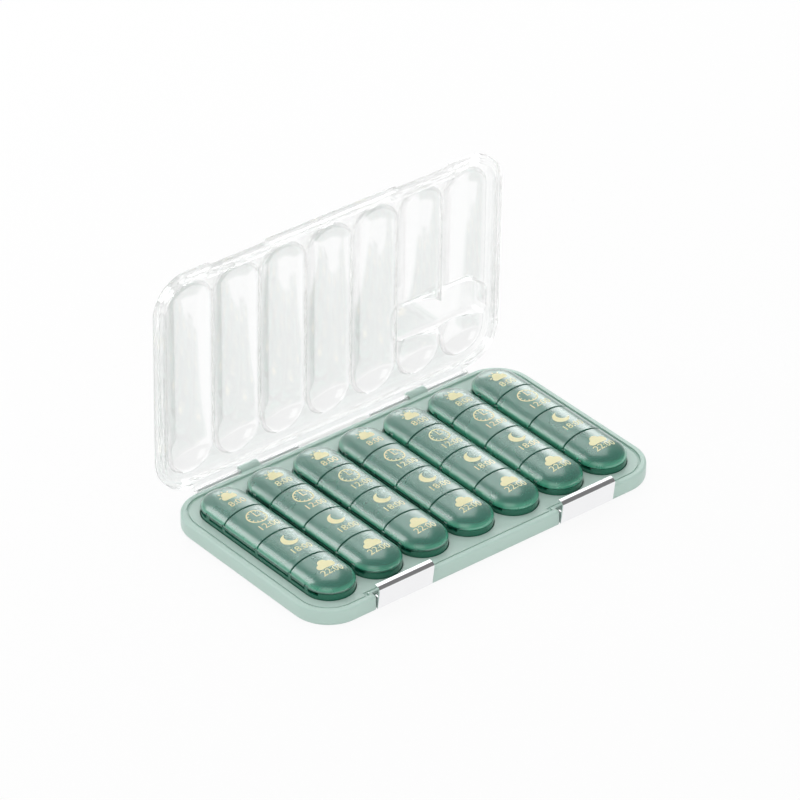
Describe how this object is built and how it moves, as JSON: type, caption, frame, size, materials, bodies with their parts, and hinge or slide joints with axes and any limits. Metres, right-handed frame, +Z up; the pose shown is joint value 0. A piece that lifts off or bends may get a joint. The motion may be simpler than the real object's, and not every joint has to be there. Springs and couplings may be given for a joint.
{
  "type": "weekly pill box",
  "caption": "Flat tray with a hinged clear cover, chrome latches and lift-out day boxes whose cells each have a domed lid.",
  "frame": {"origin": "middle of the tray's flat underside, on the surface that the box stands on", "axes": "+X along the hinge, towards the right-hand latch; +Y from the latches to the cover's hinge; +Z up"},
  "size_m": [0.226, 0.148, 0.1384],
  "materials": {
    "tray": "satin moulded plastic, pale mint",
    "clear_cover": "clear polished plastic",
    "green_box": "polished see-through green plastic",
    "green_lid": "polished see-through green plastic",
    "chrome": "polished",
    "steel_pin": "plain drawn wire"
  },
  "bodies": {
    "base": {"base_tray": "tray", "hinge_pin_left": "steel_pin", "hinge_pin_right": "steel_pin", "latch_pin_left": "steel_pin", "latch_pin_right": "steel_pin"},
    "cover": {"cover": "clear_cover"},
    "latch_left": {"latch_left": "chrome"},
    "latch_right": {"latch_right": "chrome"},
    "day1": {"day_box_1": "green_box"},
    "day1_morning": {"day1_lid_morning": "green_lid"},
    "day1_noon": {"day1_lid_noon": "green_lid"},
    "day1_evening": {"day1_lid_evening": "green_lid"},
    "day1_night": {"day1_lid_night": "green_lid"},
    "day2": {"day_box_2": "green_box"},
    "day2_morning": {"day2_lid_morning": "green_lid"},
    "day2_noon": {"day2_lid_noon": "green_lid"},
    "day2_evening": {"day2_lid_evening": "green_lid"},
    "day2_night": {"day2_lid_night": "green_lid"},
    "day3": {"day_box_3": "green_box"},
    "day3_morning": {"day3_lid_morning": "green_lid"},
    "day3_noon": {"day3_lid_noon": "green_lid"},
    "day3_evening": {"day3_lid_evening": "green_lid"},
    "day3_night": {"day3_lid_night": "green_lid"},
    "day4": {"day_box_4": "green_box"},
    "day4_morning": {"day4_lid_morning": "green_lid"},
    "day4_noon": {"day4_lid_noon": "green_lid"},
    "day4_evening": {"day4_lid_evening": "green_lid"},
    "day4_night": {"day4_lid_night": "green_lid"},
    "day5": {"day_box_5": "green_box"},
    "day5_morning": {"day5_lid_morning": "green_lid"},
    "day5_noon": {"day5_lid_noon": "green_lid"},
    "day5_evening": {"day5_lid_evening": "green_lid"},
    "day5_night": {"day5_lid_night": "green_lid"},
    "day6": {"day_box_6": "green_box"},
    "day6_morning": {"day6_lid_morning": "green_lid"},
    "day6_noon": {"day6_lid_noon": "green_lid"},
    "day6_evening": {"day6_lid_evening": "green_lid"},
    "day6_night": {"day6_lid_night": "green_lid"},
    "day7": {"day_box_7": "green_box"},
    "day7_morning": {"day7_lid_morning": "green_lid"},
    "day7_noon": {"day7_lid_noon": "green_lid"},
    "day7_evening": {"day7_lid_evening": "green_lid"},
    "day7_night": {"day7_lid_night": "green_lid"}
  },
  "joints": [
    {"name": "cover_hinge", "type": "hinge", "parent": "base", "child": "cover", "pos_m": [0, 0.0664, 0.008], "axis": [-1, 0, 0], "range_deg": [-90, 0]},
    {"name": "latch_left_hinge", "type": "hinge", "parent": "base", "child": "latch_left", "pos_m": [-0.0602, -0.0622, 0.0038], "axis": [1, 0, 0], "range_deg": [-7, 83]},
    {"name": "latch_right_hinge", "type": "hinge", "parent": "base", "child": "latch_right", "pos_m": [0.0602, -0.0622, 0.0038], "axis": [1, 0, 0], "range_deg": [-7, 83]},
    {"name": "day1_lift", "type": "slide", "parent": "base", "child": "day1", "axis": [0, 0, 1], "range_m": [0, 0.03]},
    {"name": "day1_morning_lid_hinge", "type": "hinge", "parent": "day1", "child": "day1_morning", "pos_m": [-0.1023, 0.0386, 0.012], "axis": [0, -1, 0], "range_deg": [0, 70]},
    {"name": "day1_noon_lid_hinge", "type": "hinge", "parent": "day1", "child": "day1_noon", "pos_m": [-0.1023, 0.0133, 0.012], "axis": [0, -1, 0], "range_deg": [0, 70]},
    {"name": "day1_evening_lid_hinge", "type": "hinge", "parent": "day1", "child": "day1_evening", "pos_m": [-0.1023, -0.0133, 0.012], "axis": [0, -1, 0], "range_deg": [0, 70]},
    {"name": "day1_night_lid_hinge", "type": "hinge", "parent": "day1", "child": "day1_night", "pos_m": [-0.1023, -0.0386, 0.012], "axis": [0, -1, 0], "range_deg": [0, 70]},
    {"name": "day2_lift", "type": "slide", "parent": "base", "child": "day2", "axis": [0, 0, 1], "range_m": [0, 0.03]},
    {"name": "day2_morning_lid_hinge", "type": "hinge", "parent": "day2", "child": "day2_morning", "pos_m": [-0.0723, 0.0386, 0.012], "axis": [0, -1, 0], "range_deg": [0, 70]},
    {"name": "day2_noon_lid_hinge", "type": "hinge", "parent": "day2", "child": "day2_noon", "pos_m": [-0.0723, 0.0133, 0.012], "axis": [0, -1, 0], "range_deg": [0, 70]},
    {"name": "day2_evening_lid_hinge", "type": "hinge", "parent": "day2", "child": "day2_evening", "pos_m": [-0.0723, -0.0133, 0.012], "axis": [0, -1, 0], "range_deg": [0, 70]},
    {"name": "day2_night_lid_hinge", "type": "hinge", "parent": "day2", "child": "day2_night", "pos_m": [-0.0723, -0.0386, 0.012], "axis": [0, -1, 0], "range_deg": [0, 70]},
    {"name": "day3_lift", "type": "slide", "parent": "base", "child": "day3", "axis": [0, 0, 1], "range_m": [0, 0.03]},
    {"name": "day3_morning_lid_hinge", "type": "hinge", "parent": "day3", "child": "day3_morning", "pos_m": [-0.0423, 0.0386, 0.012], "axis": [0, -1, 0], "range_deg": [0, 70]},
    {"name": "day3_noon_lid_hinge", "type": "hinge", "parent": "day3", "child": "day3_noon", "pos_m": [-0.0423, 0.0133, 0.012], "axis": [0, -1, 0], "range_deg": [0, 70]},
    {"name": "day3_evening_lid_hinge", "type": "hinge", "parent": "day3", "child": "day3_evening", "pos_m": [-0.0423, -0.0133, 0.012], "axis": [0, -1, 0], "range_deg": [0, 70]},
    {"name": "day3_night_lid_hinge", "type": "hinge", "parent": "day3", "child": "day3_night", "pos_m": [-0.0423, -0.0386, 0.012], "axis": [0, -1, 0], "range_deg": [0, 70]},
    {"name": "day4_lift", "type": "slide", "parent": "base", "child": "day4", "axis": [0, 0, 1], "range_m": [0, 0.03]},
    {"name": "day4_morning_lid_hinge", "type": "hinge", "parent": "day4", "child": "day4_morning", "pos_m": [-0.0123, 0.0386, 0.012], "axis": [0, -1, 0], "range_deg": [0, 70]},
    {"name": "day4_noon_lid_hinge", "type": "hinge", "parent": "day4", "child": "day4_noon", "pos_m": [-0.0123, 0.0133, 0.012], "axis": [0, -1, 0], "range_deg": [0, 70]},
    {"name": "day4_evening_lid_hinge", "type": "hinge", "parent": "day4", "child": "day4_evening", "pos_m": [-0.0123, -0.0133, 0.012], "axis": [0, -1, 0], "range_deg": [0, 70]},
    {"name": "day4_night_lid_hinge", "type": "hinge", "parent": "day4", "child": "day4_night", "pos_m": [-0.0123, -0.0386, 0.012], "axis": [0, -1, 0], "range_deg": [0, 70]},
    {"name": "day5_lift", "type": "slide", "parent": "base", "child": "day5", "axis": [0, 0, 1], "range_m": [0, 0.03]},
    {"name": "day5_morning_lid_hinge", "type": "hinge", "parent": "day5", "child": "day5_morning", "pos_m": [0.0177, 0.0386, 0.012], "axis": [0, -1, 0], "range_deg": [0, 70]},
    {"name": "day5_noon_lid_hinge", "type": "hinge", "parent": "day5", "child": "day5_noon", "pos_m": [0.0177, 0.0133, 0.012], "axis": [0, -1, 0], "range_deg": [0, 70]},
    {"name": "day5_evening_lid_hinge", "type": "hinge", "parent": "day5", "child": "day5_evening", "pos_m": [0.0177, -0.0133, 0.012], "axis": [0, -1, 0], "range_deg": [0, 70]},
    {"name": "day5_night_lid_hinge", "type": "hinge", "parent": "day5", "child": "day5_night", "pos_m": [0.0177, -0.0386, 0.012], "axis": [0, -1, 0], "range_deg": [0, 70]},
    {"name": "day6_lift", "type": "slide", "parent": "base", "child": "day6", "axis": [0, 0, 1], "range_m": [0, 0.03]},
    {"name": "day6_morning_lid_hinge", "type": "hinge", "parent": "day6", "child": "day6_morning", "pos_m": [0.0477, 0.0386, 0.012], "axis": [0, -1, 0], "range_deg": [0, 70]},
    {"name": "day6_noon_lid_hinge", "type": "hinge", "parent": "day6", "child": "day6_noon", "pos_m": [0.0477, 0.0133, 0.012], "axis": [0, -1, 0], "range_deg": [0, 70]},
    {"name": "day6_evening_lid_hinge", "type": "hinge", "parent": "day6", "child": "day6_evening", "pos_m": [0.0477, -0.0133, 0.012], "axis": [0, -1, 0], "range_deg": [0, 70]},
    {"name": "day6_night_lid_hinge", "type": "hinge", "parent": "day6", "child": "day6_night", "pos_m": [0.0477, -0.0386, 0.012], "axis": [0, -1, 0], "range_deg": [0, 70]},
    {"name": "day7_lift", "type": "slide", "parent": "base", "child": "day7", "axis": [0, 0, 1], "range_m": [0, 0.03]},
    {"name": "day7_morning_lid_hinge", "type": "hinge", "parent": "day7", "child": "day7_morning", "pos_m": [0.0777, 0.0386, 0.012], "axis": [0, -1, 0], "range_deg": [0, 70]},
    {"name": "day7_noon_lid_hinge", "type": "hinge", "parent": "day7", "child": "day7_noon", "pos_m": [0.0777, 0.0133, 0.012], "axis": [0, -1, 0], "range_deg": [0, 70]},
    {"name": "day7_evening_lid_hinge", "type": "hinge", "parent": "day7", "child": "day7_evening", "pos_m": [0.0777, -0.0133, 0.012], "axis": [0, -1, 0], "range_deg": [0, 70]},
    {"name": "day7_night_lid_hinge", "type": "hinge", "parent": "day7", "child": "day7_night", "pos_m": [0.0777, -0.0386, 0.012], "axis": [0, -1, 0], "range_deg": [0, 70]}
  ]
}
